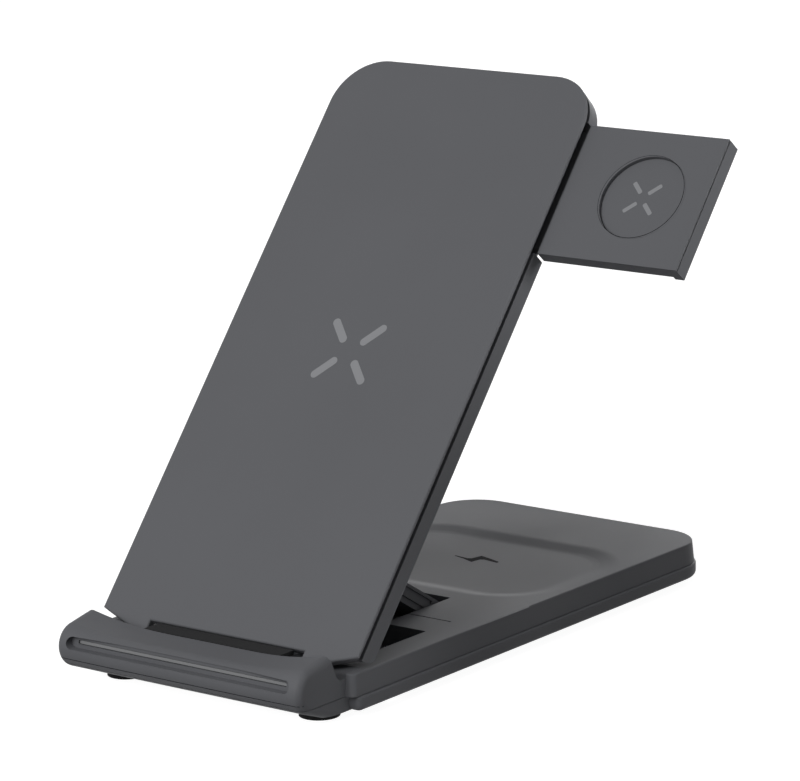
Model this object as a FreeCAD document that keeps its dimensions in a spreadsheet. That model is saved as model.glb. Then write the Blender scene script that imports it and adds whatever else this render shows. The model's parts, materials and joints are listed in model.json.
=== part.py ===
import FreeCAD, Part
import math
import os
import Sketcher

# Foldable wireless charging station: a low base with a curled phone rest, a leaning phone panel, a watch
# drawer that slides out of the panel and a strut that props it. X right, Y to the back, Z up, millimetres.

doc = FreeCAD.newDocument("charging_station")
sheet = doc.addObject("Spreadsheet::Sheet", "Sizes")


class Size:
    # A number together with the sheet expression that gives it.
    def __init__(self, amount, text):
        self.amount = amount
        self.text = text

    def joined(self, other, sign, amount):
        return Size(amount, "(" + self.text + " " + sign + " " + words(other) + ")")

    def __add__(self, other):
        return self.joined(other, "+", self.amount + number(other))

    def __sub__(self, other):
        return self.joined(other, "-", self.amount - number(other))

    def __mul__(self, other):
        return self.joined(other, "*", self.amount * number(other))

    def __truediv__(self, other):
        return self.joined(other, "/", self.amount / number(other))

    def __neg__(self):
        return self.joined(-1, "*", -self.amount)


def number(thing):
    return thing.amount if isinstance(thing, Size) else thing


def words(thing):
    return thing.text if isinstance(thing, Size) else "(" + repr(thing) + ")"


def sine(angle):
    return Size(math.sin(math.radians(angle.amount)), "sin(" + angle.text + ")")


def cosine(angle):
    return Size(math.cos(math.radians(angle.amount)), "cos(" + angle.text + ")")


def tangent(angle):
    return Size(math.tan(math.radians(angle.amount)), "tan(" + angle.text + ")")


def slope_angle(rise, run):
    ratio = rise / run
    return Size(math.degrees(math.atan(ratio.amount)), "atan(" + ratio.text + ") / 1 deg")


def length_of(rise, run):
    square = rise * rise + run * run
    return Size(math.sqrt(square.amount), "sqrt(" + square.text + ")")


def size(name, amount):
    row = "A" + str(len(sheet.getUsedCells()) + 1)
    sheet.set(row, str(amount))
    sheet.setAlias(row, name)
    return Size(amount, "Sizes." + name)


# Base housing: y is measured from the crest of the phone rest, z from the underside of the housing
base_width = size("base_width", 80.0)
base_front = size("base_front", 6.0)
base_rear = size("base_rear", 160.7)
base_height = size("base_height", 9.3)
split_height = size("split_height", 3.7)
seam_gap = size("seam_gap", 0.14)
cut_spare = size("cut_spare", 1.0)
plate_front_inset = size("plate_front_inset", 1.5)
lip_back_inset = size("lip_back_inset", 3.5)
wall_draft = size("wall_draft", 4.0)
rear_radius = size("rear_radius", 12.3)
front_radius = size("front_radius", 1.5)
rim_flare = size("rim_flare", 1.0)
rim_round = size("rim_round", 0.55)
sole_round = size("sole_round", 1.2)
top_round = size("top_round", 0.4)
plate_floor = size("plate_floor", 1.6)
foot_radius = size("foot_radius", 5.0)
foot_height = size("foot_height", 2.0)
foot_inset = size("foot_inset", 10.0)
foot_front = size("foot_front", 6.0)
foot_rear_inset = size("foot_rear_inset", 13.7)

# Curled phone rest along the front edge
lip_inset = size("lip_inset", 2.2)
lip_end_round = size("lip_end_round", 2.0)
crest_y = size("crest_y", 0.3)
crest_rise = size("crest_rise", 6.0)
belly_y = size("belly_y", -0.9)
belly_slope = size("belly_slope", 20.0)
nose_front = size("nose_front", -11.4)
nose_radius = size("nose_radius", 5.8)
nose_radius_middle = size("nose_radius_middle", 4.6)
trough_y = size("trough_y", 3.4)
trough_drop = size("trough_drop", 1.3)
trough_round = size("trough_round", 2.5)
relief_rear = size("relief_rear", 9.0)
relief_end = size("relief_end", 12.0)
dip_rise = size("dip_rise", 2.6)
dip_flat = size("dip_flat", 30.0)
light_inset = size("light_inset", 5.5)
light_height = size("light_height", 1.15)
light_gap = size("light_gap", 0.18)
light_sink = size("light_sink", 0.3)
light_z = size("light_z", 9.4)
light_depth = size("light_depth", 3.2)
surround_margin = size("surround_margin", 2.2)
lip_wall = size("lip_wall", 1.5)
surround_height = size("surround_height", 3.0)
surround_depth = size("surround_depth", 2.4)

# Ledge with the rubber pad, and the hinge knuckle behind it
ledge_front = size("ledge_front", 1.0)
ledge_rear = size("ledge_rear", 7.9)
ledge_width = size("ledge_width", 42.0)
pad_thick = size("pad_thick", 1.2)
knuckle_radius = size("knuckle_radius", 2.6)
hinge_y = size("hinge_y", 14.25)
hinge_pin_radius = size("hinge_pin_radius", 1.25)
hinge_pin_grip = size("hinge_pin_grip", 7.5)
pin_clearance = size("pin_clearance", 0.05)
side_clearance = size("side_clearance", 0.4)

# Wells for the folded strut and its pivot
well_inset = size("well_inset", 8.0)
well_front = size("well_front", 17.2)
well_rear = size("well_rear", 45.8)
strut_well_rear = size("strut_well_rear", 73.6)
well_floor = size("well_floor", 2.9)
strut_width = size("strut_width", 36.0)
strut_gap = size("strut_gap", 1.0)
strut_thick = size("strut_thick", 5.0)
strut_tip_radius = size("strut_tip_radius", 2.2)
strut_pivot_inset = size("strut_pivot_inset", 3.1)
strut_z = size("strut_z", 5.8)
strut_seat = size("strut_seat", 24.15)
strut_back = size("strut_back", 4.5)
strut_pin_grip = size("strut_pin_grip", 4.5)
groove_depth = size("groove_depth", 0.5)
groove_width = size("groove_width", 0.9)
seam_line_y = size("seam_line_y", 56.0)
seam_line_width = size("seam_line_width", 0.5)
seam_line_depth = size("seam_line_depth", 0.3)

# Earbud dish and what lies under it
dish_gap = size("dish_gap", 5.7)
dish_length = size("dish_length", 53.8)
dish_inset = size("dish_inset", 3.0)
dish_depth = size("dish_depth", 0.9)
dish_radius = size("dish_radius", 18.0)
dish_slope = size("dish_slope", 5.0)
dish_round = size("dish_round", 12.0)
bay_front_inset = size("bay_front_inset", 0.3)
bay_rear_inset = size("bay_rear_inset", 10.7)
bay_inset = size("bay_inset", 3.5)
bay_ceiling = size("bay_ceiling", 7.0)
coil_thick = size("coil_thick", 1.2)
shield_thick = size("shield_thick", 0.8)
stack_gap = size("stack_gap", 0.05)
bud_coil_radius = size("bud_coil_radius", 20.5)
bud_coil_bore = size("bud_coil_bore", 9.5)
bud_shield = size("bud_shield", 46.0)
board_thick = size("board_thick", 1.2)
main_board_length = size("main_board_length", 58.0)
main_board_width = size("main_board_width", 15.0)
socket_width = size("socket_width", 8.9)
socket_height = size("socket_height", 3.2)
socket_depth = size("socket_depth", 7.4)
socket_wall = size("socket_wall", 0.3)
screw_inset_front = size("screw_inset_front", 4.0)
screw_inset_rear = size("screw_inset_rear", 12.0)
screw_front = size("screw_front", 25.0)
screw_rear_inset = size("screw_rear_inset", 5.7)
screw_radius = size("screw_radius", 1.0)
screw_head_radius = size("screw_head_radius", 2.0)
screw_head_height = size("screw_head_height", 1.2)
screw_length = size("screw_length", 6.4)

# Phone panel, measured from the hinge axis: y along the panel, z up towards its face
panel_tilt = size("panel_tilt", 50.3)
panel_inset = size("panel_inset", 0.25)
panel_below = size("panel_below", 3.17)
panel_above = size("panel_above", 158.0)
panel_thick = size("panel_thick", 7.4)
hinge_depth = size("hinge_depth", 4.5)
fold_gap = size("fold_gap", 0.4)
face_thick = size("face_thick", 1.9)
face_bevel = size("face_bevel", 1.2)
face_round = size("face_round", 0.6)
face_gap = size("face_gap", 0.1)
shell_inset = size("shell_inset", 0.1)
shell_draft = size("shell_draft", 2.0)
shell_thickness = size("shell_thickness", 1.6)
shell_round = size("shell_round", 1.0)
top_radius = size("top_radius", 13.5)
tongue_drop = size("tongue_drop", 4.4)
tongue_tip = size("tongue_tip", 3.0)
notch_gap = size("notch_gap", 3.0)
notch_lift = size("notch_lift", 1.05)
heel_radius = size("heel_radius", 4.2)
knuckle_room = size("knuckle_room", 3.4)
track_low = size("track_low", 8.2)
track_margin = size("track_margin", 3.2)
track_depth = size("track_depth", 4.2)
phone_bay_low = size("phone_bay_low", 36.0)
phone_bay_gap = size("phone_bay_gap", 4.3)
phone_bay_inset = size("phone_bay_inset", 4.75)
phone_coil_y = size("phone_coil_y", 74.8)
phone_coil_radius = size("phone_coil_radius", 22.0)
phone_coil_bore = size("phone_coil_bore", 9.0)
phone_shield_side = size("phone_shield_side", 50.0)
panel_board_length = size("panel_board_length", 44.0)
panel_board_width = size("panel_board_width", 9.0)

# Watch drawer in the panel
drawer_inset = size("drawer_inset", 11.7)
drawer_width = size("drawer_width", 37.0)
drawer_out = size("drawer_out", 40.95)
drawer_overlap = size("drawer_overlap", 20.0)
drawer_thick = size("drawer_thick", 3.7)
drawer_gap = size("drawer_gap", 0.25)
drawer_set_back = size("drawer_set_back", 2.6)
drawer_cap = size("drawer_cap", 2.6)
neck_start = size("neck_start", 0.4)
neck_drop = size("neck_drop", 0.9)
neck_inset = size("neck_inset", 1.6)
cap_line_drop = size("cap_line_drop", 0.4)
cap_line = size("cap_line", 0.3)
watch_inset = size("watch_inset", 17.5)
watch_radius = size("watch_radius", 11.7)
watch_step = size("watch_step", 1.0)
watch_disc_thick = size("watch_disc_thick", 1.0)
watch_coil_radius = size("watch_coil_radius", 9.0)
watch_coil_bore = size("watch_coil_bore", 4.6)
watch_coil_thick = size("watch_coil_thick", 1.0)
magnet_radius = size("magnet_radius", 4.0)
doc.recompute()

# Values that follow from the sizes above
zero = base_width - base_width
cover_bottom = split_height + seam_gap / 2
plate_top = split_height - seam_gap / 2
half_base = base_width / 2
half_lip = half_base - lip_inset
lip_back = base_front + lip_back_inset
light_length = (half_lip - light_inset) * 2
half_well = half_base - well_inset
half_dish = half_base - dish_inset
half_bay = half_base - bay_inset
dish_front = strut_well_rear + dish_gap
dish_rear = dish_front + dish_length
bay_front = dish_front - bay_front_inset
bay_rear = base_rear - bay_rear_inset
strut_y = strut_well_rear - strut_pivot_inset
wall_spread = (base_height - cover_bottom) * tangent(wall_draft)
crest_z = base_height + crest_rise
dip_z = base_height + dip_rise
trough_z = base_height - trough_drop
ledge_z = dip_z - pad_thick
pad_front = crest_y + (trough_y - crest_y) * (crest_z - ledge_z) / (crest_z - trough_z) + pin_clearance
hinge_z = base_height + fold_gap + panel_thick - hinge_depth
strut_run = strut_y - hinge_y - strut_seat * cosine(panel_tilt) - strut_back * sine(panel_tilt)
strut_rise = hinge_z + strut_seat * sine(panel_tilt) - strut_back * cosine(panel_tilt) - strut_z
strut_lean = slope_angle(strut_rise, strut_run)
strut_length = length_of(strut_rise, strut_run)
half_strut_well = strut_width / 2 + strut_gap
strut_pin_length = (half_strut_well + strut_pin_grip) * 2
hinge_pin_length = ledge_width + hinge_pin_grip * 2
panel_width = base_width - panel_inset * 2
face_top = hinge_depth
face_bottom = face_top - face_thick
shell_top = face_bottom - face_gap
shell_bottom = face_top - panel_thick
half_shell = panel_width / 2 - shell_inset
drawer_top = face_top - drawer_set_back
drawer_bottom = drawer_top - drawer_thick
drawer_low = panel_above - drawer_inset - drawer_width
drawer_reach = panel_width / 2 + drawer_out
watch_x = drawer_reach - watch_inset
drawer_middle = drawer_low + drawer_width / 2
drawer_travel = drawer_reach - half_shell
centre_x = (drawer_reach - half_base - rim_flare) / 2
centre_y = (base_rear + rim_flare + nose_front) / 2


def bind(target, path, value):
    target.setExpression(path, value.text)


def new_body(label):
    body = doc.addObject("PartDesign::Body", label)
    body.Label = label
    return body


def new_sketch(body, role, offset=None):
    sketch = body.newObject("Sketcher::SketchObject", body.Label + "_sketch")
    plane = [item for item in body.Origin.OriginFeatures if item.Role == role][0]
    sketch.AttachmentSupport = [(plane, "")]
    sketch.MapMode = "FlatFace"
    if offset is not None:
        bind(sketch, "AttachmentOffset.Base.z", offset)
    return sketch


def hold_point(sketch, geometry, position, point):
    for kind, value in zip(("DistanceX", "DistanceY"), point):
        row = sketch.addConstraint(Sketcher.Constraint(kind, -1, 1, geometry, position, value.amount))
        bind(sketch, "Constraints[" + str(row) + "]", value)


def outline(body, role, points, offset=None):
    # A closed outline of straight sides, each corner held by the sheet.
    sketch = new_sketch(body, role, offset)
    corners = [FreeCAD.Vector(point[0].amount, point[1].amount, 0) for point in points]
    count = len(corners)
    for index in range(count):
        sketch.addGeometry(Part.LineSegment(corners[index], corners[(index + 1) % count]), False)
    for index in range(count):
        sketch.addConstraint(Sketcher.Constraint("Coincident", index, 2, (index + 1) % count, 1))
    for index in range(count):
        hold_point(sketch, index, 1, points[index])
    return sketch


def rounds(body, role, centres, radius, offset=None):
    # One circle of the same radius at each centre.
    sketch = new_sketch(body, role, offset)
    for index, centre in enumerate(centres):
        middle = FreeCAD.Vector(centre[0].amount, centre[1].amount, 0)
        sketch.addGeometry(Part.Circle(middle, FreeCAD.Vector(0, 0, 1), radius.amount), False)
        hold_point(sketch, index, 3, centre)
        row = sketch.addConstraint(Sketcher.Constraint("Radius", index, radius.amount))
        bind(sketch, "Constraints[" + str(row) + "]", radius)
    return sketch


def long_round(body, role, half_length, height, middle, offset=None):
    # A slot outline with half-round ends, lying along the first axis of its plane.
    sketch = new_sketch(body, role, offset)
    radius = height / 2
    end = half_length - radius
    up = FreeCAD.Vector(0, 0, 1)
    right = Part.Circle(FreeCAD.Vector(end.amount, middle.amount, 0), up, radius.amount)
    left = Part.Circle(FreeCAD.Vector(-end.amount, middle.amount, 0), up, radius.amount)
    high = middle.amount + radius.amount
    low = middle.amount - radius.amount
    sketch.addGeometry(Part.ArcOfCircle(right, -math.pi / 2, math.pi / 2), False)
    sketch.addGeometry(Part.ArcOfCircle(left, math.pi / 2, 3 * math.pi / 2), False)
    sketch.addGeometry(Part.LineSegment(FreeCAD.Vector(end.amount, high, 0), FreeCAD.Vector(-end.amount, high, 0)))
    sketch.addGeometry(Part.LineSegment(FreeCAD.Vector(-end.amount, low, 0), FreeCAD.Vector(end.amount, low, 0)))
    for first, first_end, second, second_end in ((0, 2, 2, 1), (2, 2, 1, 1), (1, 2, 3, 1), (3, 2, 0, 1)):
        sketch.addConstraint(Sketcher.Constraint("Tangent", first, first_end, second, second_end))
    hold_point(sketch, 0, 3, (end, middle))
    hold_point(sketch, 1, 3, (-end, middle))
    row = sketch.addConstraint(Sketcher.Constraint("Radius", 0, radius.amount))
    bind(sketch, "Constraints[" + str(row) + "]", radius)
    return sketch


def lip_section(body, station):
    # Side profile of the curled rest: crest, rounded nose, belly, back and trough. The crest rises towards the ends.
    sketch = new_sketch(body, "YZ_Plane", station)
    rise = lip_rise(station)
    peak_z = dip_z + (crest_z - dip_z) * rise
    peak_y = crest_y + (trough_y - crest_y) * (crest_z - peak_z) / (crest_z - trough_z)
    radius = nose_radius_middle + (nose_radius - nose_radius_middle) * rise
    middle_y = nose_front + radius
    middle_z = radius / cosine(belly_slope) + (belly_y - middle_y) * tangent(belly_slope)
    peak = FreeCAD.Vector(peak_y.amount, peak_z.amount, 0)
    middle = FreeCAD.Vector(middle_y.amount, middle_z.amount, 0)
    reach = peak - middle
    upper = math.atan2(reach.y, reach.x) + math.acos(radius.amount / reach.Length)
    lower = math.radians(270 - belly_slope.amount)
    circle = Part.Circle(middle, FreeCAD.Vector(0, 0, 1), radius.amount)
    corners = [(belly_y, zero), (lip_back, zero), (lip_back, trough_z), (trough_y, trough_z), (peak_y, peak_z)]
    flat = [FreeCAD.Vector(corner[0].amount, corner[1].amount, 0) for corner in corners]
    sketch.addGeometry(Part.ArcOfCircle(circle, upper, lower), False)
    sketch.addGeometry(Part.LineSegment(circle.value(lower), flat[0]), False)
    for first, second in zip(flat[:-1], flat[1:]):
        sketch.addGeometry(Part.LineSegment(first, second), False)
    sketch.addGeometry(Part.LineSegment(flat[-1], circle.value(upper)), False)
    sketch.addConstraint(Sketcher.Constraint("Tangent", 0, 2, 1, 1))
    for index in range(1, 6):
        sketch.addConstraint(Sketcher.Constraint("Coincident", index, 2, index + 1, 1))
        hold_point(sketch, index, 2, corners[index - 1])
    sketch.addConstraint(Sketcher.Constraint("Tangent", 6, 2, 0, 1))
    hold_point(sketch, 0, 3, (middle_y, middle_z))
    return sketch


def lip_rise(station):
    # 0 across the dip in the middle, growing with the square of the distance to 1 at the ends.
    if abs(station.amount) <= dip_flat.amount / 2:
        return zero
    past = (station if station.amount > 0 else -station) - dip_flat / 2
    share = past / (half_lip - dip_flat / 2)
    return share * share


def raise_lip(body):
    # Loft of the rest's profile from one end to the other.
    half_dip = dip_flat / 2
    step = (half_lip - half_dip) / 3
    stations = [-half_lip, -half_dip - step * 2, -half_dip - step, -half_dip, zero, half_dip, half_dip + step,
                half_dip + step * 2, half_lip]
    sections = [lip_section(body, station) for station in stations]
    loft = body.newObject("PartDesign::AdditiveLoft", body.Label + "_loft")
    loft.Profile = sections[0]
    loft.Sections = sections[1:]
    doc.recompute()
    dress(body, "Fillet", lip_end_round, lambda box: close(box.XLength, 0) and close(abs(box.Center.x), half_lip)
          and box.YMin < crest_y.amount - 0.1 and not close(box.ZMax, 0))


def soft_rectangle(body, half_width, low, high, radius, offset):
    # A rectangle with round corners, the arcs first and then the sides.
    sketch = new_sketch(body, "XY_Plane", offset)
    up = FreeCAD.Vector(0, 0, 1)
    left = radius - half_width
    right = half_width - radius
    centres = [(left, low + radius), (right, low + radius), (right, high - radius), (left, high - radius)]
    arcs = []
    for index, centre in enumerate(centres):
        circle = Part.Circle(FreeCAD.Vector(centre[0].amount, centre[1].amount, 0), up, radius.amount)
        arcs.append(Part.ArcOfCircle(circle, math.pi * (2 + index) / 2, math.pi * (3 + index) / 2))
        sketch.addGeometry(arcs[index], False)
    for index in range(4):
        sketch.addGeometry(Part.LineSegment(arcs[index].EndPoint, arcs[(index + 1) % 4].StartPoint), False)
    for index in range(4):
        sketch.addConstraint(Sketcher.Constraint("Tangent", index, 2, 4 + index, 1))
        sketch.addConstraint(Sketcher.Constraint("Tangent", 4 + index, 2, (index + 1) % 4, 1))
        hold_point(sketch, index, 3, centres[index])
        row = sketch.addConstraint(Sketcher.Constraint("Radius", index, radius.amount))
        bind(sketch, "Constraints[" + str(row) + "]", radius)
    return sketch


def sink_dish(body):
    # Shallow dish whose soft slope runs all round it.
    floor_z = base_height - dish_depth
    rim = soft_rectangle(body, half_dish, dish_front, dish_rear, dish_radius, base_height)
    floor = soft_rectangle(body, half_dish - dish_slope, dish_front + dish_slope, dish_rear - dish_slope,
                           dish_radius - dish_slope, floor_z)
    loft = body.newObject("PartDesign::SubtractiveLoft", body.Label + "_dish")
    loft.Profile = rim
    loft.Sections = [floor]
    doc.recompute()
    for level in (base_height, floor_z):
        dress(body, "Fillet", dish_round, lambda box: close(box.ZMax, level) and close(box.ZMin, level)
              and box.YMin > dish_front.amount - 1 and box.YMax < dish_rear.amount + 1)


def corner_round(body, role, corner, radius, spare):
    # Outline of what a rounded lower left corner leaves outside it.
    sketch = new_sketch(body, role)
    left, low = corner
    points = [(left, low + radius), (left - spare, low + radius), (left - spare, low - spare), (left + radius, low - spare),
              (left + radius, low)]
    flat = [FreeCAD.Vector(point[0].amount, point[1].amount, 0) for point in points]
    for first, second in zip(flat[:-1], flat[1:]):
        sketch.addGeometry(Part.LineSegment(first, second), False)
    middle = FreeCAD.Vector((left + radius).amount, (low + radius).amount, 0)
    circle = Part.Circle(middle, FreeCAD.Vector(0, 0, 1), radius.amount)
    sketch.addGeometry(Part.ArcOfCircle(circle, math.pi, math.pi * 1.5), False)
    for index in range(3):
        sketch.addConstraint(Sketcher.Constraint("Coincident", index, 2, index + 1, 1))
        hold_point(sketch, index, 2, points[index + 1])
    sketch.addConstraint(Sketcher.Constraint("Coincident", 3, 2, 4, 2))
    sketch.addConstraint(Sketcher.Constraint("Coincident", 0, 1, 4, 1))
    sketch.addConstraint(Sketcher.Constraint("Horizontal", 0))
    sketch.addConstraint(Sketcher.Constraint("Vertical", 3))
    hold_point(sketch, 4, 3, (left + radius, low + radius))
    return sketch


def raise_solid(body, sketch, length, symmetric=False, reverse=False, taper=None):
    return extrude(body, "PartDesign::Pad", sketch, length, symmetric, reverse, taper)


def cut_solid(body, sketch, length, symmetric=False, reverse=False):
    before = body.Tip.Shape.Volume
    feature = extrude(body, "PartDesign::Pocket", sketch, length, symmetric, reverse, None)
    if feature.Shape.Volume > before - 0.001:
        raise RuntimeError("a cut in " + body.Label + " misses the solid: " + sketch.Label)
    return feature


def extrude(body, kind, sketch, length, symmetric, reverse, taper):
    feature = body.newObject(kind, body.Label + "_" + kind.split("::")[1].lower())
    feature.Profile = sketch
    feature.SideType = "Symmetric" if symmetric else "One side"
    feature.Reversed = reverse
    bind(feature, "Length", length)
    if taper is not None:
        bind(feature, "TaperAngle", taper)
    doc.recompute()
    return feature


def dress(body, kind, value, wanted):
    # Round or bevel the edges of the present solid that the test picks.
    base = body.Tip
    names = ["Edge" + str(index + 1) for index, edge in enumerate(base.Shape.Edges) if wanted(edge.BoundBox)]
    if not names:
        raise RuntimeError("no edge to dress on " + body.Label)
    feature = body.newObject("PartDesign::" + kind, body.Label + "_" + kind.lower())
    feature.Base = (base, names)
    bind(feature, "Radius" if kind == "Fillet" else "Size", value)
    doc.recompute()
    return feature


def close(first, second):
    return abs(first - number(second)) < 0.01


def upright_at(x, y):
    # Edges that climb near one corner of a plan outline.
    def wanted(box):
        here = abs(abs(box.Center.x) - number(x)) < 1 and abs(box.Center.y - number(y)) < 1
        return here and box.ZLength > 0.5 and box.XLength < 1 and box.YLength < 1
    return wanted


def along_x_at(y, z):
    # Edges that run across the part at one point of its side profile.
    def wanted(box):
        return close(box.YMin, y) and close(box.YMax, y) and close(box.ZMin, z) and close(box.ZMax, z)
    return wanted


def place_on_base(piece):
    bind(piece, "Placement.Base.x", -centre_x)
    bind(piece, "Placement.Base.y", -centre_y)
    bind(piece, "Placement.Base.z", foot_height)


def place_turned(piece, y, z, angle):
    piece.Placement = FreeCAD.Placement(FreeCAD.Vector(), FreeCAD.Rotation(FreeCAD.Vector(1, 0, 0), 1))
    bind(piece, "Placement.Rotation.Angle", angle)
    bind(piece, "Placement.Base.x", -centre_x)
    bind(piece, "Placement.Base.y", y - centre_y)
    bind(piece, "Placement.Base.z", z + foot_height)


def place_on_panel(piece):
    place_turned(piece, hinge_y, hinge_z, panel_tilt)


def rectangle(half_width, low, high):
    return [(-half_width, low), (half_width, low), (half_width, high), (-half_width, high)]


def well_outline(margin):
    half_wide = half_well + margin
    half_strut = half_strut_well + margin
    return [(-half_wide, well_front - margin), (half_wide, well_front - margin), (half_wide, well_rear + margin),
            (half_strut, well_rear + margin), (half_strut, strut_well_rear + margin),
            (-half_strut, strut_well_rear + margin), (-half_strut, well_rear + margin),
            (-half_wide, well_rear + margin)]


def screw_places():
    places = []
    for inset, y in ((screw_inset_front, screw_front), (screw_inset_rear, base_rear - screw_rear_inset)):
        places.append((half_base - inset, y))
        places.append((inset - half_base, y))
    return places


# Base cover: drafted slab, curled phone rest with its dip, ledge, hinge knuckle, wells and earbud dish
base_cover = new_body("base_cover")
half_foot = half_base + wall_spread
slab = outline(base_cover, "XY_Plane", rectangle(half_foot, base_front, base_rear + wall_spread), cover_bottom)
raise_solid(base_cover, slab, base_height - cover_bottom, taper=-wall_draft)
dress(base_cover, "Fillet", rear_radius, upright_at(half_base + wall_spread / 2, base_rear))
dress(base_cover, "Fillet", front_radius, upright_at(half_base + wall_spread / 2, base_front))
dress(base_cover, "Fillet", top_round, lambda box: close(box.ZMin, base_height) and close(box.ZMax, base_height))
raise_lip(base_cover)
below = outline(base_cover, "YZ_Plane", [(nose_front - cut_spare, -cut_spare), (lip_back + cut_spare, -cut_spare),
                                         (lip_back + cut_spare, cover_bottom), (nose_front - cut_spare, cover_bottom)])
cut_solid(base_cover, below, base_width, symmetric=True)
relief = outline(base_cover, "YZ_Plane", [(trough_y + trough_round, trough_z), (relief_rear, trough_z),
                                          (relief_end, base_height), (relief_end, base_height + cut_spare),
                                          (trough_y + trough_round, base_height + cut_spare)])
cut_solid(base_cover, relief, half_lip * 2, symmetric=True)
dress(base_cover, "Fillet", trough_round, along_x_at(trough_y, trough_z))
block_foot = trough_z - cut_spare
block = outline(base_cover, "YZ_Plane", [(ledge_front, block_foot), (hinge_y + knuckle_radius * 0.85, block_foot),
                                         (hinge_y + knuckle_radius * 0.85, ledge_z), (ledge_front, ledge_z)])
raise_solid(base_cover, block, ledge_width, symmetric=True)
raise_solid(base_cover, rounds(base_cover, "YZ_Plane", [(hinge_y, hinge_z)], knuckle_radius), ledge_width,
            symmetric=True)
hinge_bore = hinge_pin_radius + pin_clearance
cut_solid(base_cover, rounds(base_cover, "YZ_Plane", [(hinge_y, hinge_z)], hinge_bore), ledge_width * 2,
          symmetric=True)
cut_solid(base_cover, outline(base_cover, "XY_Plane", well_outline(zero), base_height), base_height)
cut_solid(base_cover, rounds(base_cover, "YZ_Plane", [(strut_y, strut_z)], hinge_bore),
          strut_pin_length + side_clearance, symmetric=True)
seam_low = seam_line_y - seam_line_width / 2
seam_line = outline(base_cover, "XY_Plane", rectangle(half_well, seam_low, seam_low + seam_line_width), base_height)
cut_solid(base_cover, seam_line, seam_line_depth)
sink_dish(base_cover)
cut_solid(base_cover, outline(base_cover, "XY_Plane", rectangle(half_bay, bay_front, bay_rear), cover_bottom),
          bay_ceiling - cover_bottom, reverse=True)
light_back = nose_front + surround_depth + light_depth
lip_bay = outline(base_cover, "XY_Plane", rectangle(light_length / 2, light_back, crest_y - lip_wall), cover_bottom)
cut_solid(base_cover, lip_bay, dip_z - lip_wall - cover_bottom, reverse=True)
surround = long_round(base_cover, "XZ_Plane", light_length / 2 + surround_margin, surround_height, light_z,
                      -(nose_front + surround_depth))
cut_solid(base_cover, surround, nose_radius, reverse=True)
slot = long_round(base_cover, "XZ_Plane", light_length / 2, light_height, light_z, -nose_front)
cut_solid(base_cover, slot, light_back - nose_front)
socket_back = base_rear - socket_depth - side_clearance
socket_slot = outline(base_cover, "XZ_Plane", [(-socket_width / 2 - stack_gap, zero),
                                               (socket_width / 2 + stack_gap, zero),
                                               (socket_width / 2 + stack_gap, cover_bottom + socket_height),
                                               (-socket_width / 2 - stack_gap, cover_bottom + socket_height)],
                      -socket_back)
cut_solid(base_cover, socket_slot, socket_depth * 2)
cut_solid(base_cover, rounds(base_cover, "XY_Plane", screw_places(), screw_radius + pin_clearance, cover_bottom),
          screw_length - cover_bottom + side_clearance, reverse=True)
place_on_base(base_cover)

# Base plate: the lower half of the housing, with the plinth rim and the lower half of the curled rest
base_plate = new_body("base_plate")
half_rim = half_base + rim_flare
raise_solid(base_plate, outline(base_plate, "XY_Plane", rectangle(half_rim, base_front + plate_front_inset, base_rear + rim_flare)),
            plate_top)
dress(base_plate, "Fillet", rear_radius + rim_flare, upright_at(half_rim, base_rear + rim_flare))
dress(base_plate, "Fillet", front_radius, upright_at(half_rim, base_front + plate_front_inset))
dress(base_plate, "Fillet", rim_round, lambda box: close(box.ZMin, plate_top) and close(box.ZMax, plate_top))
dress(base_plate, "Fillet", sole_round, lambda box: close(box.ZMin, 0) and close(box.ZMax, 0))
raise_lip(base_plate)
above = outline(base_plate, "YZ_Plane", [(nose_front - cut_spare, plate_top), (lip_back + cut_spare, plate_top),
                                         (lip_back + cut_spare, crest_z + cut_spare),
                                         (nose_front - cut_spare, crest_z + cut_spare)])
cut_solid(base_plate, above, base_width, symmetric=True)
cut_solid(base_plate, outline(base_plate, "XY_Plane", well_outline(seam_gap), plate_top), plate_top - well_floor)
cut_solid(base_plate, outline(base_plate, "XY_Plane", rectangle(half_bay, bay_front, bay_rear), plate_top),
          plate_top - plate_floor)
cut_solid(base_plate, rounds(base_plate, "XY_Plane", screw_places(), screw_radius + pin_clearance, plate_top),
          plate_top)
cut_solid(base_plate, rounds(base_plate, "XY_Plane", screw_places(), screw_head_radius + pin_clearance),
          screw_head_height, reverse=True)
place_on_base(base_plate)

# Rubber pad that the phone stands on
rest_pad = new_body("rest_pad")
raise_solid(rest_pad, outline(rest_pad, "XY_Plane", rectangle(ledge_width / 2, pad_front, ledge_rear), ledge_z),
            pad_thick)
place_on_base(rest_pad)

# Light bar in the rest's front slot and the light board behind it
light_bar = new_body("light_bar")
bar = long_round(light_bar, "XZ_Plane", light_length / 2 - light_gap, light_height - light_gap * 2, light_z,
                 -(nose_front + surround_depth + light_sink))
raise_solid(light_bar, bar, light_depth - light_sink, reverse=True)
place_on_base(light_bar)

light_board = doc.addObject("Part::Box", "light_board")
bind(light_board, "Length", light_length - side_clearance * 2)
bind(light_board, "Width", board_thick)
bind(light_board, "Height", dip_z - lip_wall - cover_bottom - side_clearance)
bind(light_board, "Placement.Base.x", -centre_x - light_length / 2 + side_clearance)
bind(light_board, "Placement.Base.y", light_back + stack_gap - centre_y)
bind(light_board, "Placement.Base.z", cover_bottom + foot_height)


def pin_across(label, radius, length, y, z):
    pin = doc.addObject("Part::Cylinder", label)
    bind(pin, "Radius", radius)
    bind(pin, "Height", length)
    pin.Placement = FreeCAD.Placement(FreeCAD.Vector(), FreeCAD.Rotation(FreeCAD.Vector(0, 1, 0), 90))
    bind(pin, "Placement.Base.x", -centre_x - length / 2)
    bind(pin, "Placement.Base.y", y - centre_y)
    bind(pin, "Placement.Base.z", z + foot_height)
    return pin


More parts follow.
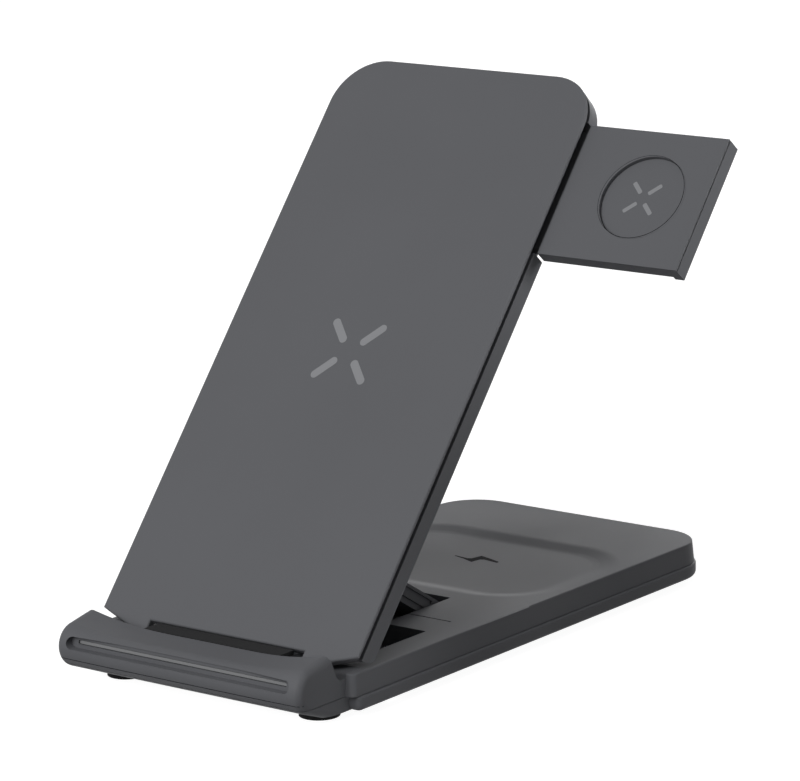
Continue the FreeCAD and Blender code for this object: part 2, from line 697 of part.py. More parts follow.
# Steel pins of the panel hinge and of the strut
hinge_pin = pin_across("hinge_pin", hinge_pin_radius, hinge_pin_length, hinge_y, hinge_z)
strut_pin = pin_across("strut_pin", hinge_pin_radius, strut_pin_length, strut_y, strut_z)


def coil_ring(label, radius, bore, thick, middle, low):
    # A flat wound coil: one ring of square section.
    body = new_body(label)
    raise_solid(body, rounds(body, "XY_Plane", [middle], radius, low), thick)
    cut_solid(body, rounds(body, "XY_Plane", [middle], bore, low), thick, reverse=True)
    return body


def flat_plate(label, middle, side, depth, low, thick):
    body = new_body(label)
    left = middle[0] - side / 2
    right = middle[0] + side / 2
    near = middle[1] - depth / 2
    far = middle[1] + depth / 2
    raise_solid(body, outline(body, "XY_Plane", [(left, near), (right, near), (right, far), (left, far)], low), thick)
    return body


# Earbud coil and ferrite shield under the dish, main circuit board and power socket
dish_middle = (zero, (dish_front + dish_rear) / 2)
bud_coil_low = bay_ceiling - stack_gap - coil_thick
earbud_coil = coil_ring("earbud_coil", bud_coil_radius, bud_coil_bore, coil_thick, dish_middle, bud_coil_low)
place_on_base(earbud_coil)
earbud_shield = flat_plate("earbud_shield", dish_middle, bud_shield, bud_shield,
                           bud_coil_low - stack_gap - shield_thick, shield_thick)
place_on_base(earbud_shield)
board_middle = (zero, bay_rear - main_board_width / 2 - side_clearance)
circuit_board = flat_plate("circuit_board", board_middle, main_board_length, main_board_width,
                           plate_floor + stack_gap, board_thick)
place_on_base(circuit_board)

usb_socket = new_body("usb_socket")
socket_face = -(base_rear - side_clearance)
socket_z = cover_bottom - stack_gap + socket_height / 2
raise_solid(usb_socket, long_round(usb_socket, "XZ_Plane", socket_width / 2, socket_height - stack_gap * 2, socket_z,
                                   socket_face), socket_depth)
cut_solid(usb_socket, long_round(usb_socket, "XZ_Plane", socket_width / 2 - socket_wall,
                                 socket_height - stack_gap * 2 - socket_wall * 2, socket_z, socket_face),
          socket_depth - 1, reverse=True)
place_on_base(usb_socket)


def group(label, pieces):
    bundle = doc.addObject("Part::Compound", label)
    bundle.Links = pieces
    return bundle


def foot(x, y):
    disc = doc.addObject("Part::Cylinder", "foot_disc")
    bind(disc, "Radius", foot_radius)
    bind(disc, "Height", foot_height)
    bind(disc, "Placement.Base.x", x - centre_x)
    bind(disc, "Placement.Base.y", y - centre_y)
    return disc


# Rubber feet and the screws that hold the two halves of the base together
half_spread = half_base - foot_inset
foot_rear = base_rear - foot_rear_inset
feet = group("feet", [foot(side, y) for y in (foot_front, foot_rear) for side in (half_spread, -half_spread)])


def screw(x, y):
    body = doc.addObject("PartDesign::Body", "screw_body")
    raise_solid(body, rounds(body, "XY_Plane", [(x, y)], screw_head_radius, zero + stack_gap),
                screw_head_height - stack_gap * 2)
    raise_solid(body, rounds(body, "XY_Plane", [(x, y)], screw_radius, zero + stack_gap), screw_length - stack_gap)
    place_on_base(body)
    return body


base_screws = group("base_screws", [screw(x, y) for x, y in screw_places()])

# Panel face: rounded top corners, sloping lower corners, a tongue and the notch around the ledge
half_panel = panel_width / 2
tongue_y = -panel_below - tongue_drop
notch_y = -panel_below - notch_lift


def panel_outline(inset, notch_half, notch_top):
    half = half_panel - inset
    half_tongue = ledge_width / 2 + notch_gap + tongue_tip - inset
    low = -panel_below + inset
    tip = tongue_y + inset
    high = panel_above - inset
    return [(half, low), (half, high), (-half, high), (-half, low), (-half_tongue, tip), (-notch_half, tip),
            (-notch_half, notch_top), (notch_half, notch_top), (notch_half, tip), (half_tongue, tip)]


panel_face = new_body("panel_face")
raise_solid(panel_face, outline(panel_face, "XY_Plane", panel_outline(zero, ledge_width / 2 + notch_gap, notch_y), face_bottom),
            face_thick)
dress(panel_face, "Fillet", top_radius, upright_at(half_panel, panel_above))
dress(panel_face, "Chamfer", face_bevel, lambda box: close(box.ZMax, face_bottom) and box.YMax > 0)
dress(panel_face, "Fillet", face_round, lambda box: close(box.ZMin, face_top) and close(box.ZMax, face_top))
place_on_panel(panel_face)

# Panel shell: drafted tray behind the face with the drawer slot, coil bay, strut track and hinge bores
panel_shell = new_body("panel_shell")
shell_low = -panel_below + shell_inset
shell_high = panel_above - shell_inset
raise_solid(panel_shell, outline(panel_shell, "XY_Plane", rectangle(half_shell, shell_low, shell_high), shell_top),
            shell_top - shell_bottom, reverse=True, taper=-shell_draft)
dress(panel_shell, "Fillet", top_radius - shell_inset, upright_at(half_shell, shell_high))
dress(panel_shell, "Fillet", shell_round, lambda box: close(box.ZMin, shell_bottom) and close(box.ZMax, shell_bottom))
heel_low = shell_low + (shell_top - shell_bottom) * tangent(shell_draft)
heel = corner_round(panel_shell, "YZ_Plane", (heel_low, shell_bottom), heel_radius, heel_radius)
cut_solid(panel_shell, heel, panel_width, symmetric=True)
hinge_half = ledge_width / 2 + side_clearance
cut_solid(panel_shell, outline(panel_shell, "XY_Plane", rectangle(hinge_half, shell_low - cut_spare, knuckle_room), shell_top),
          panel_thick)
cut_solid(panel_shell, rounds(panel_shell, "YZ_Plane", [(zero, zero)], hinge_bore),
          hinge_pin_length + side_clearance * 2, symmetric=True)
track_high = strut_seat + track_margin
cut_solid(panel_shell, outline(panel_shell, "XY_Plane", rectangle(half_strut_well, track_low, track_high), shell_bottom),
          track_depth, reverse=True)
bay_floor = shell_bottom + shell_thickness
cut_solid(panel_shell, outline(panel_shell, "XY_Plane", rectangle(half_panel - phone_bay_inset, phone_bay_low, drawer_low - phone_bay_gap),
                               shell_top), shell_top - bay_floor)
slot_low = drawer_low - drawer_gap
slot_high = drawer_low + drawer_width + drawer_gap
inner_end = half_shell - drawer_overlap - drawer_travel - drawer_gap
cut_solid(panel_shell, outline(panel_shell, "XY_Plane", [(inner_end, slot_low), (panel_width, slot_low),
                                                         (panel_width, slot_high), (inner_end, slot_high)], shell_top),
          shell_top - drawer_bottom + drawer_gap)
cap_room = half_shell - drawer_cap - drawer_gap
cut_solid(panel_shell, outline(panel_shell, "XY_Plane", [(cap_room, slot_low), (panel_width, slot_low),
                                                         (panel_width, slot_high), (cap_room, slot_high)], shell_top),
          panel_thick)
place_on_panel(panel_shell)

# Phone coil, its ferrite shield and the board in the panel
phone_middle = (zero, phone_coil_y)
phone_coil_low = face_bottom - stack_gap - coil_thick
phone_coil = coil_ring("phone_coil", phone_coil_radius, phone_coil_bore, coil_thick, phone_middle, phone_coil_low)
place_on_panel(phone_coil)
phone_shield = flat_plate("phone_shield", phone_middle, phone_shield_side, phone_shield_side,
                          phone_coil_low - stack_gap - shield_thick, shield_thick)
place_on_panel(phone_shield)
panel_board_middle = (zero, phone_bay_low + panel_board_width / 2 + side_clearance)
panel_board = flat_plate("panel_board", panel_board_middle, panel_board_length, panel_board_width,
                         bay_floor + stack_gap, board_thick)
place_on_panel(panel_board)

# Watch drawer: plate with an end cap, round charging seat, coil and magnet
drawer_tray = new_body("drawer_tray")
drawer_high = drawer_low + drawer_width
tray_left = half_shell - drawer_overlap
raise_solid(drawer_tray, outline(drawer_tray, "XY_Plane", [(tray_left, drawer_low), (drawer_reach, drawer_low),
                                                           (drawer_reach, drawer_high), (tray_left, drawer_high)],
                                 drawer_bottom), drawer_thick)
cap_left = drawer_reach - drawer_cap
raise_solid(drawer_tray, outline(drawer_tray, "XY_Plane", [(cap_left, drawer_low), (drawer_reach, drawer_low),
                                                           (drawer_reach, drawer_high), (cap_left, drawer_high)],
                                 drawer_top), drawer_top - shell_bottom, reverse=True)
neck_right = half_panel + neck_start
cut_solid(drawer_tray, outline(drawer_tray, "XY_Plane", [(tray_left, drawer_low), (neck_right, drawer_low),
                                                         (neck_right, drawer_high), (tray_left, drawer_high)],
                               drawer_top), neck_drop)
for near, far in ((drawer_low, drawer_low + neck_inset), (drawer_high - neck_inset, drawer_high)):
    cut_solid(drawer_tray, outline(drawer_tray, "XY_Plane", [(tray_left, near), (neck_right, near), (neck_right, far),
                                                             (tray_left, far)], drawer_top), drawer_thick)
line_top = drawer_top - cap_line_drop
cut_solid(drawer_tray, outline(drawer_tray, "YZ_Plane", [(drawer_low, line_top - cap_line), (drawer_high, line_top - cap_line),
                                                         (drawer_high, line_top), (drawer_low, line_top)], drawer_reach),
          cap_line)
watch_middle = (watch_x, drawer_middle)
seat_depth = watch_step + watch_disc_thick + stack_gap
cut_solid(drawer_tray, rounds(drawer_tray, "XY_Plane", [watch_middle], watch_radius, drawer_top), seat_depth)
cut_solid(drawer_tray, rounds(drawer_tray, "XY_Plane", [watch_middle], watch_coil_radius + stack_gap,
                              drawer_top - seat_depth), watch_coil_thick + stack_gap)
place_on_panel(drawer_tray)

watch_disc = new_body("watch_disc")
raise_solid(watch_disc, rounds(watch_disc, "XY_Plane", [watch_middle], watch_radius - stack_gap * 2,
                               drawer_top - watch_step), watch_disc_thick, reverse=True)
place_on_panel(watch_disc)
watch_coil_low = drawer_top - seat_depth - watch_coil_thick
watch_coil = coil_ring("watch_coil", watch_coil_radius - stack_gap, watch_coil_bore, watch_coil_thick, watch_middle,
                       watch_coil_low)
place_on_panel(watch_coil)
watch_magnet = new_body("watch_magnet")
raise_solid(watch_magnet, rounds(watch_magnet, "XY_Plane", [watch_middle], magnet_radius, watch_coil_low),
            watch_coil_thick)
place_on_panel(watch_magnet)

# Strut: flat bar with round ends and lengthwise grooves along its sides
strut = new_body("strut")
half_thick = strut_thick / 2
strut_low = -half_thick
strut_high = strut_length + strut_tip_radius
raise_solid(strut, outline(strut, "YZ_Plane", [(strut_low, -half_thick), (strut_high, -half_thick),
                                               (strut_high, half_thick), (strut_low, half_thick)]),
            strut_width, symmetric=True)
dress(strut, "Fillet", strut_tip_radius, lambda box: close(box.XLength, strut_width))
cut_solid(strut, rounds(strut, "YZ_Plane", [(zero, zero)], hinge_bore), strut_width * 2, symmetric=True)
groove_end = strut_length - strut_thick
for groove_z in (half_thick / 2, -half_thick / 2):
    for side in (strut_width / 2, -strut_width / 2):
        low = groove_z - groove_width / 2
        high = groove_z + groove_width / 2
        groove = outline(strut, "YZ_Plane", [(strut_thick, low), (groove_end, low), (groove_end, high),
                                             (strut_thick, high)], side)
        cut_solid(strut, groove, groove_depth * 2, symmetric=True)
place_turned(strut, strut_y, strut_z, -strut_lean + 180)
doc.recompute()

pieces = [base_cover, base_plate, rest_pad, light_bar, light_board, hinge_pin, strut_pin, earbud_coil, earbud_shield,
          circuit_board, usb_socket, feet, base_screws, panel_face, panel_shell, phone_coil, phone_shield, panel_board,
          drawer_tray, watch_disc, watch_coil, watch_magnet, strut]
for item in doc.Objects:
    if "Invalid" in item.State or "Error" in item.State:
        raise RuntimeError("failed object: " + item.Label)
for piece in pieces:
    if piece.Shape.isNull() or not piece.Shape.isValid():
        raise RuntimeError("bad shape: " + piece.Label)
os.makedirs("parts", exist_ok=True)
for piece in pieces:
    piece.Shape.exportStep("parts/" + piece.Label + ".step")
print("strut lean", round(strut_lean.amount, 3), "length", round(strut_length.amount, 3))
print("drawer travel", round(drawer_travel.amount, 3), "centre", round(centre_x.amount, 3), round(centre_y.amount, 3))
print("hinge", round(hinge_y.amount, 3), round(hinge_z.amount, 3), "nose front", round(nose_front.amount, 3))
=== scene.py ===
import json
import math
import bpy
import bmesh
from mathutils import Matrix, Vector
from mathutils.bvhtree import BVHTree


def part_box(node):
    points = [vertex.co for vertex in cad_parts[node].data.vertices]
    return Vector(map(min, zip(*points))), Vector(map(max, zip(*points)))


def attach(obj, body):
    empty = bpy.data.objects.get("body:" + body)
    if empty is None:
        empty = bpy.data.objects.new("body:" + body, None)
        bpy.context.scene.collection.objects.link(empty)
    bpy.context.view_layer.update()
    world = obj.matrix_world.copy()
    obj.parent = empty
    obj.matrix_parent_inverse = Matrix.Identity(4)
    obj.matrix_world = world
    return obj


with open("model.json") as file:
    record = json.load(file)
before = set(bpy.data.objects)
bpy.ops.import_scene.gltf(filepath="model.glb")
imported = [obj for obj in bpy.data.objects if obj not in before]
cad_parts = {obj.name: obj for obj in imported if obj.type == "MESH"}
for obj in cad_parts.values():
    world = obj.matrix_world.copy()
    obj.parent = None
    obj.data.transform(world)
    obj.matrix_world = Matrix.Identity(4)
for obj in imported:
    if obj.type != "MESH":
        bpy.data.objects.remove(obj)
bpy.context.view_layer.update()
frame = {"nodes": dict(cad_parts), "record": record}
scene = bpy.context.scene
scene.view_settings.view_transform = "Standard"
mm = 0.001
print("frame loaded:", len(frame["nodes"]), "nodes")

# Two frames in millimetres. Base: x from its middle, y from the phone rest, z from the housing's underside.
# Panel: x as in the base, from the hinge, leaning with the panel, z out of its face.
stand = {"hinge": (0, 14.25, 12.6), "tilt": 50.3}
pinBox = [Vector(corner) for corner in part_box("hinge_pin")]
hinge = (pinBox[0] + pinBox[1]) / 2
baseTurn = Matrix.Translation(hinge - Vector(stand["hinge"]) * mm)
panelTurn = Matrix.Translation(hinge) @ Matrix.Rotation(math.radians(stand["tilt"]), 4, "X")

# Camera at the photo's angle, placed in the base's frame
shot = {"place": (613.8, -727.9, 287.9), "azimuth": 37.26, "elevation": 12.71, "roll": -0.93,
        "lens": 185.606, "sensor": 36, "near": 0.05, "far": 50}
azimuth, elevation, roll = (math.radians(shot[key]) for key in ("azimuth", "elevation", "roll"))
back = Vector((math.sin(azimuth) * math.cos(elevation),
               -math.cos(azimuth) * math.cos(elevation),
               math.sin(elevation)))
level = Vector((math.cos(azimuth), math.sin(azimuth), 0))
upward = back.cross(level)
sideways = math.cos(roll) * level + math.sin(roll) * upward
upright = math.cos(roll) * upward - math.sin(roll) * level
cameraData = bpy.data.cameras.new("camera")
cameraData.lens = shot["lens"]
cameraData.sensor_width = shot["sensor"]
cameraData.clip_start = shot["near"]
cameraData.clip_end = shot["far"]
camera = bpy.data.objects.new("camera", cameraData)
scene.collection.objects.link(camera)
cameraTurn = Matrix((sideways, upright, back)).transposed().to_4x4()
camera.matrix_world = baseTurn @ Matrix.Translation(Vector(shot["place"]) * mm) @ cameraTurn
scene.camera = camera
print("camera placed")

# Finishes: one for each material slot, and two for the thin marks and lines; the dark one is also the
# painted shade in the ring round the watch seat
looks = {
    "housing": {"colour": (0.1135, 0.116, 0.125), "spread": 0.05, "roughness": 0.64,
                "grain": 5200, "bump": 0.35, "specular": 0.25, "metallic": 0},
    "rubber": {"colour": (0.021, 0.021, 0.022), "spread": 0.06, "roughness": 0.85,
               "grain": 3000, "bump": 0.4, "specular": 0.15, "metallic": 0},
    # light bar: its own pale grey, set lighter to carry part of a painted reflection along the strip; the
    # rest comes from its gloss
    "light_diffuser": {"colour": (0.2, 0.204, 0.21), "spread": 0.04, "roughness": 0.3,
                       "grain": 1800, "bump": 0.1, "specular": 0.5, "metallic": 0},
    "steel": {"colour": (0.55, 0.56, 0.57), "spread": 0.05, "roughness": 0.32,
              "grain": 2600, "bump": 0.15, "specular": 0.5, "metallic": 1},
    "copper": {"colour": (0.72, 0.36, 0.19), "spread": 0.08, "roughness": 0.38,
               "grain": 2400, "bump": 0.2, "specular": 0.5, "metallic": 0.9},
    "ferrite": {"colour": (0.05, 0.05, 0.054), "spread": 0.08, "roughness": 0.6,
                "grain": 2200, "bump": 0.3, "specular": 0.35, "metallic": 0},
    "board": {"colour": (0.02, 0.13, 0.06), "spread": 0.08, "roughness": 0.42,
              "grain": 1600, "bump": 0.15, "specular": 0.5, "metallic": 0},
    "print_pale": {"colour": (0.262, 0.266, 0.279), "spread": 0.02, "roughness": 0.6,
                   "grain": 5200, "bump": 0.2, "specular": 0.25, "metallic": 0},
    # dark print for the bolt mark and seam, also used as painted shade round the watch seat
    "dark_print_and_shade": {"colour": (0.02, 0.02, 0.022), "spread": 0.02, "roughness": 0.9,
                   "grain": 5200, "bump": 0.2, "specular": 0.05, "metallic": 0},
}
surface = {"cloudScale": 22, "cloudDetail": 3, "cloudLow": 0.3, "cloudHigh": 0.7, "wear": 0.05,
           "grainDetail": 2, "grainDepth": 0.00004}


def newMaterial(name):
    material = bpy.data.materials.new(name)
    material.use_nodes = True
    tree = material.node_tree
    tree.nodes.clear()
    output = tree.nodes.new("ShaderNodeOutputMaterial")
    return material, tree, output.inputs["Surface"]


def moulded(name, look):
    material, tree, target = newMaterial(name)
    shader = tree.nodes.new("ShaderNodeBsdfPrincipled")
    shader.inputs["Specular IOR Level"].default_value = look["specular"]
    shader.inputs["Metallic"].default_value = look["metallic"]
    tree.links.new(shader.outputs["BSDF"], target)
    place = tree.nodes.new("ShaderNodeTexCoord")

    cloud = tree.nodes.new("ShaderNodeTexNoise")  # slow drift of tone over the part
    cloud.inputs["Scale"].default_value = surface["cloudScale"]
    cloud.inputs["Detail"].default_value = surface["cloudDetail"]
    tree.links.new(place.outputs["Object"], cloud.inputs["Vector"])
    ramp = tree.nodes.new("ShaderNodeValToRGB")
    dark, light = ramp.color_ramp.elements
    dark.position = surface["cloudLow"]
    dark.color = [channel * (1 - look["spread"]) for channel in look["colour"]] + [1]
    light.position = surface["cloudHigh"]
    light.color = [channel * (1 + look["spread"]) for channel in look["colour"]] + [1]
    tree.links.new(cloud.outputs["Fac"], ramp.inputs["Fac"])
    tree.links.new(ramp.outputs["Color"], shader.inputs["Base Color"])

    handled = tree.nodes.new("ShaderNodeMapRange")  # shinier and duller patches
    handled.inputs["From Min"].default_value = surface["cloudLow"]
    handled.inputs["From Max"].default_value = surface["cloudHigh"]
    handled.inputs["To Min"].default_value = look["roughness"] - surface["wear"]
    handled.inputs["To Max"].default_value = look["roughness"] + surface["wear"]
    tree.links.new(cloud.outputs["Fac"], handled.inputs["Value"])
    tree.links.new(handled.outputs["Result"], shader.inputs["Roughness"])

    fine = tree.nodes.new("ShaderNodeTexNoise")  # mould grain
    fine.inputs["Scale"].default_value = look["grain"]
    fine.inputs["Detail"].default_value = surface["grainDetail"]
    tree.links.new(place.outputs["Object"], fine.inputs["Vector"])
    relief = tree.nodes.new("ShaderNodeBump")
    relief.inputs["Strength"].default_value = look["bump"]
    relief.inputs["Distance"].default_value = surface["grainDepth"]
    tree.links.new(fine.outputs["Fac"], relief.inputs["Height"])
    tree.links.new(relief.outputs["Normal"], shader.inputs["Normal"])
    return material


finishes = {name: moulded(name, look) for name, look in looks.items()}
slots = {entry["node"]: entry["material_slot"] for entry in frame["record"]["subparts"]}
for name, node in frame["nodes"].items():
    node.data.materials.clear()
    node.data.materials.append(finishes[slots[name]])
print("materials on all nodes")

# Thin pieces on the surfaces. Sizes are in millimetres until a piece is placed.
detail = {"printThickness": 0.015, "cornerSteps": 8, "lineSides": 8, "weld": 0.0005}


def startTree(name, sockets):
    tree = bpy.data.node_groups.new(name, "GeometryNodeTree")
    tree.interface.new_socket("Geometry", in_out="INPUT", socket_type="NodeSocketGeometry")
    for label, kind in sockets.items():
        tree.interface.new_socket(label, in_out="INPUT", socket_type="NodeSocket" + kind)
    tree.interface.new_socket("Geometry", in_out="OUTPUT", socket_type="NodeSocketGeometry")
    return tree, tree.nodes.new("NodeGroupInput").outputs


def endTree(tree, shape, material):
    solid = tree.nodes.new("GeometryNodeRealizeInstances")
    paint = tree.nodes.new("GeometryNodeSetMaterial")
    leave = tree.nodes.new("NodeGroupOutput")
    tree.links.new(shape, solid.inputs["Geometry"])
    tree.links.new(solid.outputs["Geometry"], paint.inputs["Geometry"])
    tree.links.new(material, paint.inputs["Material"])
    tree.links.new(paint.outputs["Geometry"], leave.inputs["Geometry"])
    return tree


def dashTree():  # four dashes that point away from a centre
    sockets = {"Length": "Float", "Width": "Float", "Corner": "Float", "Thickness": "Float",
               "Spread": "Vector", "Lean": "Vector", "Material": "Material"}
    tree, given = startTree("dashes", sockets)

    bar = tree.nodes.new("GeometryNodeCurvePrimitiveQuadrilateral")
    tree.links.new(given["Length"], bar.inputs["Width"])
    tree.links.new(given["Width"], bar.inputs["Height"])
    ends = tree.nodes.new("GeometryNodeFilletCurve")
    ends.mode = "POLY"
    ends.inputs["Count"].default_value = detail["cornerSteps"]
    ends.inputs["Limit Radius"].default_value = True
    tree.links.new(bar.outputs["Curve"], ends.inputs["Curve"])
    tree.links.new(given["Corner"], ends.inputs["Radius"])
    fill = tree.nodes.new("GeometryNodeFillCurve")
    fill.mode = "NGONS"
    tree.links.new(ends.outputs["Curve"], fill.inputs["Curve"])
    lift = tree.nodes.new("GeometryNodeExtrudeMesh")
    lift.inputs["Individual"].default_value = False
    tree.links.new(fill.outputs["Mesh"], lift.inputs["Mesh"])
    tree.links.new(given["Thickness"], lift.inputs["Offset Scale"])
    under = tree.nodes.new("GeometryNodeFlipFaces")
    tree.links.new(fill.outputs["Mesh"], under.inputs["Mesh"])
    closed = tree.nodes.new("GeometryNodeJoinGeometry")
    tree.links.new(lift.outputs["Mesh"], closed.inputs["Geometry"])
    tree.links.new(under.outputs["Mesh"], closed.inputs["Geometry"])

    spread = tree.nodes.new("ShaderNodeSeparateXYZ")
    tree.links.new(given["Spread"], spread.inputs["Vector"])
    corners = tree.nodes.new("GeometryNodeMeshGrid")  # a dash on each corner
    corners.inputs["Vertices X"].default_value = 2
    corners.inputs["Vertices Y"].default_value = 2
    tree.links.new(spread.outputs["X"], corners.inputs["Size X"])
    tree.links.new(spread.outputs["Y"], corners.inputs["Size Y"])
    place = tree.nodes.new("GeometryNodeInputPosition")
    outward = tree.nodes.new("ShaderNodeVectorMath")
    outward.operation = "MULTIPLY"
    tree.links.new(place.outputs["Position"], outward.inputs[0])
    tree.links.new(given["Lean"], outward.inputs[1])
    heading = tree.nodes.new("FunctionNodeAlignRotationToVector")
    heading.axis = "X"
    heading.pivot_axis = "Z"
    tree.links.new(outward.outputs["Vector"], heading.inputs["Vector"])
    copies = tree.nodes.new("GeometryNodeInstanceOnPoints")
    tree.links.new(corners.outputs["Mesh"], copies.inputs["Points"])
    tree.links.new(closed.outputs["Geometry"], copies.inputs["Instance"])
    tree.links.new(heading.outputs["Rotation"], copies.inputs["Rotation"])
    return endTree(tree, copies.outputs["Instances"], given["Material"])


def seamTree():  # fine round line along a path
    tree, given = startTree("seam", {"Radius": "Float", "Material": "Material"})
    path = tree.nodes.new("GeometryNodeMeshToCurve")
    section = tree.nodes.new("GeometryNodeCurvePrimitiveCircle")
    section.inputs["Resolution"].default_value = detail["lineSides"]
    sweep = tree.nodes.new("GeometryNodeCurveToMesh")
    sweep.inputs["Fill Caps"].default_value = True
    tree.links.new(given["Geometry"], path.inputs["Mesh"])
    tree.links.new(given["Radius"], section.inputs["Radius"])
    tree.links.new(path.outputs["Curve"], sweep.inputs["Curve"])
    tree.links.new(section.outputs["Curve"], sweep.inputs["Profile Curve"])
    return endTree(tree, sweep.outputs["Mesh"], given["Material"])


def grow(name, tree, values, turn, body, points=()):  # the tree's result as a plain mesh on a body
    source = bpy.data.meshes.new(name)
    source.from_pydata(points, [(index, index + 1) for index in range(len(points) - 1)], [])
    holder = bpy.data.objects.new(name, source)
    scene.collection.objects.link(holder)
    modifier = holder.modifiers.new(name, "NODES")
    modifier.node_group = tree
    for socket in tree.interface.items_tree:
        if socket.in_out == "INPUT" and socket.name in values:
            modifier[socket.identifier] = values[socket.name]
    data = bpy.data.meshes.new_from_object(holder.evaluated_get(bpy.context.evaluated_depsgraph_get()))
    holder.modifiers.clear()
    holder.data = data
    solid = bmesh.new()
    solid.from_mesh(data)
    bmesh.ops.remove_doubles(solid, verts=solid.verts, dist=detail["weld"])
    bmesh.ops.recalc_face_normals(solid, faces=solid.faces)
    bmesh.ops.transform(solid, matrix=turn @ Matrix.Scale(mm, 4), verts=solid.verts)
    solid.to_mesh(data)
    solid.free()
    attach(holder, body)
    print(name, "has", len(data.polygons), "faces")


def cross(name, mark, turn, body):
    inner, outer = Vector(mark["inner"]), Vector(mark["outer"])
    middle = (inner + outer) / 2
    run = outer - inner
    values = {"Length": run.length + mark["width"], "Width": mark["width"], "Corner": mark["corner"],
              "Thickness": detail["printThickness"], "Spread": (2 * middle.x, 2 * middle.y, 0),
              "Lean": (run.x / middle.x, run.y / middle.y, 0), "Material": finishes["print_pale"]}
    grow(name, dashes, values, turn @ Matrix.Translation(Vector(mark["place"]) * mm), body)


# Charging marks, printed a hair above the face they are on
dashes = dashTree()
phoneMark = {"place": (-0.2, 74.8, 4.505), "inner": (3.25, 3.15), "outer": (7.2, 7.4),
             "width": 2.2, "corner": 1.1}
cross("phone_mark", phoneMark, panelTurn, "panel")
watchMark = {"place": (62.6, 128.1, 0.905), "inner": (1.5, 1.78), "outer": (3.6, 3.75),
             "width": 1.15, "corner": 0.4}
cross("watch_mark", watchMark, panelTurn, "drawer")

boltMark = {"height": 8.405, "outline": (
    (-6.56, 110.1), (-5.86, 109.5), (-2.67, 108.61), (1.01, 107.01), (1.51, 110.2), (2.51, 110.75),
    (7.19, 109.9), (7.04, 111.0), (2.61, 112.59), (-0.28, 113.44), (-0.98, 110.0), (-1.98, 109.45))}
boltMesh = bmesh.new()
boltCorners = [boltMesh.verts.new((x, y, boltMark["height"])) for x, y in boltMark["outline"]]
boltTop = bmesh.ops.extrude_face_region(boltMesh, geom=[boltMesh.faces.new(boltCorners)])
boltRaised = [part for part in boltTop["geom"] if isinstance(part, bmesh.types.BMVert)]
bmesh.ops.translate(boltMesh, vec=(0, 0, detail["printThickness"]), verts=boltRaised)
bmesh.ops.recalc_face_normals(boltMesh, faces=boltMesh.faces)
bmesh.ops.transform(boltMesh, matrix=baseTurn @ Matrix.Scale(mm, 4), verts=boltMesh.verts)
boltData = bpy.data.meshes.new("bolt_mark")
boltMesh.to_mesh(boltData)
boltMesh.free()
boltData.materials.append(finishes["dark_print_and_shade"])
bolt = bpy.data.objects.new("bolt_mark", boltData)
scene.collection.objects.link(bolt)
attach(bolt, "base")

# Moulding seam round the front of the phone rest, followed over the cover's own surface
restSeam = {"height": 5.2, "reach": 37.6, "steps": 94, "radius": 0.13, "sink": 0.06, "start": -60}
coverMesh = bmesh.new()
coverMesh.from_mesh(frame["nodes"]["base_cover"].data)
coverSkin = BVHTree.FromBMesh(coverMesh)
seamPath = []
for step in range(restSeam["steps"] + 1):
    x = restSeam["reach"] * (2 * step / restSeam["steps"] - 1)
    origin = baseTurn @ (Vector((x, restSeam["start"], restSeam["height"])) * mm)
    place, normal = coverSkin.ray_cast(origin, Vector((0, 1, 0)))[:2]
    if place is not None:
        seamPath.append((baseTurn.inverted() @ place) / mm - normal * restSeam["sink"])
coverMesh.free()
seams = seamTree()
seamValues = {"Radius": restSeam["radius"], "Material": finishes["dark_print_and_shade"]}
grow("rest_seam", seams, seamValues, baseTurn, "base", seamPath)

# Painted shade: a thin dark ring just outside the watch disc, where the seat's edge meets the plate and
# shade falls
seatShadeRing = {"height": 1.87, "radius": 0.07, "steps": 96, "gap": 0.05}
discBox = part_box("watch_disc")
seatRadius = (discBox[1][0] - discBox[0][0]) / 2 / mm + seatShadeRing["gap"]
seatX, seatY = watchMark["place"][:2]
seatPath = []
for step in range(seatShadeRing["steps"] + 1):
    angle = 2 * math.pi * step / seatShadeRing["steps"]
    x = seatX + seatRadius * math.cos(angle)
    y = seatY + seatRadius * math.sin(angle)
    seatPath.append((x, y, seatShadeRing["height"]))
shadeRingValues = {"Radius": seatShadeRing["radius"], "Material": finishes["dark_print_and_shade"]}
grow("seat_shade_ring", seams, shadeRingValues, panelTurn, "drawer", seatPath)
print("printed marks, seam and rim made")

# White studio: what the camera and reflections see is bright, what lights the object is softer
studio = {"floorReach": 12, "floorDull": 0.08, "floorPale": 0.35, "floorGlow": 0.95,
          "ambient": 0.12, "backdrop": 1}


def backgroundRays(tree):  # 1 for the rays that see the studio white: camera, glossy and transmission
    rays = tree.nodes.new("ShaderNodeLightPath")
    mirrored = tree.nodes.new("ShaderNodeMath")
    mirrored.operation = "MAXIMUM"
    seen = tree.nodes.new("ShaderNodeMath")
    seen.operation = "MAXIMUM"
    tree.links.new(rays.outputs["Is Glossy Ray"], mirrored.inputs[0])
    tree.links.new(rays.outputs["Is Transmission Ray"], mirrored.inputs[1])
    tree.links.new(rays.outputs["Is Camera Ray"], seen.inputs[0])
    tree.links.new(mirrored.outputs[0], seen.inputs[1])
    return seen.outputs[0]


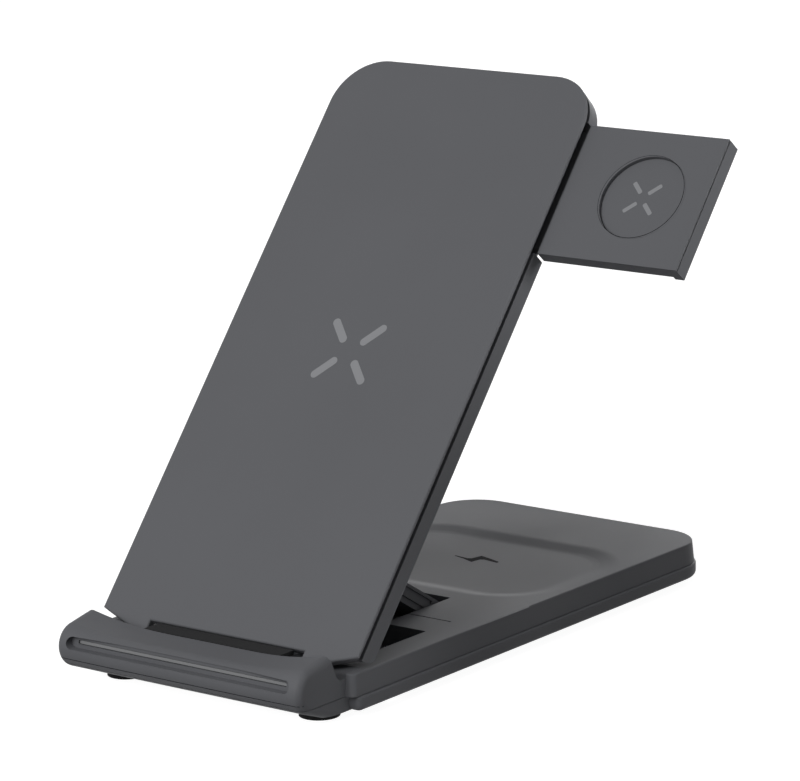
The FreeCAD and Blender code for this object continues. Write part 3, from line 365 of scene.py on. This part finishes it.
floorData = bpy.data.meshes.new("floor")
floorMesh = bmesh.new()
bmesh.ops.create_grid(floorMesh, x_segments=1, y_segments=1, size=studio["floorReach"])
floorMesh.to_mesh(floorData)
floorMesh.free()
floor = bpy.data.objects.new("floor", floorData)
scene.collection.objects.link(floor)
floorLook, floorTree, floorTarget = newMaterial("floor")
dull = floorTree.nodes.new("ShaderNodeBsdfDiffuse")
dull.inputs["Color"].default_value = [studio["floorDull"]] * 3 + [1]
pale = floorTree.nodes.new("ShaderNodeBsdfDiffuse")
pale.inputs["Color"].default_value = [studio["floorPale"]] * 3 + [1]
glow = floorTree.nodes.new("ShaderNodeEmission")
glow.inputs["Strength"].default_value = studio["floorGlow"]
bright = floorTree.nodes.new("ShaderNodeAddShader")
choice = floorTree.nodes.new("ShaderNodeMixShader")
floorTree.links.new(pale.outputs["BSDF"], bright.inputs[0])
floorTree.links.new(glow.outputs["Emission"], bright.inputs[1])
floorTree.links.new(backgroundRays(floorTree), choice.inputs["Fac"])
floorTree.links.new(dull.outputs["BSDF"], choice.inputs[1])
floorTree.links.new(bright.outputs["Shader"], choice.inputs[2])
floorTree.links.new(choice.outputs["Shader"], floorTarget)
floorData.materials.append(floorLook)

world = bpy.data.worlds.new("studio")
scene.world = world
world.use_nodes = True
worldTree = world.node_tree
worldTree.nodes.clear()
worldOut = worldTree.nodes.new("ShaderNodeOutputWorld")
sky = worldTree.nodes.new("ShaderNodeBackground")
sky.inputs["Color"].default_value = (1, 1, 1, 1)
strength = worldTree.nodes.new("ShaderNodeMapRange")  # soft light on the object, white behind it
strength.inputs["To Min"].default_value = studio["ambient"]
strength.inputs["To Max"].default_value = studio["backdrop"]
worldTree.links.new(backgroundRays(worldTree), strength.inputs["Value"])
worldTree.links.new(strength.outputs["Result"], sky.inputs["Strength"])
worldTree.links.new(sky.outputs["Background"], worldOut.inputs["Surface"])

lamps = {
    "front": {"place": (-0.1, -1.2, 0.75), "target": (0, 0, 0.05),
              "size": 0.9, "power": 14.8, "spread": 180},
    "back": {"place": (-0.4, 1.35, 0.35), "target": (0, 0, 0.05),
             "size": 0.6, "power": 5.2, "spread": 180},
    "rear": {"place": (-0.75, 1.1, 0.5), "target": (0, 0.02, 0.02),
             "size": 0.5, "power": 0.6, "spread": 180},
    # narrow beams on the panel's edge and on the front corner
    "strip": {"place": (0.6, 0.1, 0.17), "target": (0.04, 0.03, 0.122),
              "size": 0.12, "power": 0.029, "spread": 15},
    "corner": {"place": (0.6, 0, 0.05), "target": (0.03, -0.066, 0.02),
               "size": 0.05, "power": 0.0014, "spread": 6},
}
for name, look in lamps.items():
    lampData = bpy.data.lights.new(name, "AREA")
    lampData.shape = "SQUARE"
    lampData.size = look["size"]
    lampData.energy = look["power"]
    lampData.spread = math.radians(look["spread"])
    lamp = bpy.data.objects.new(name, lampData)
    lamp.location = look["place"]
    aim = Vector(look["place"]) - Vector(look["target"])
    lamp.rotation_euler = aim.to_track_quat("Z", "Y").to_euler()
    scene.collection.objects.link(lamp)
print("stage and lights made")
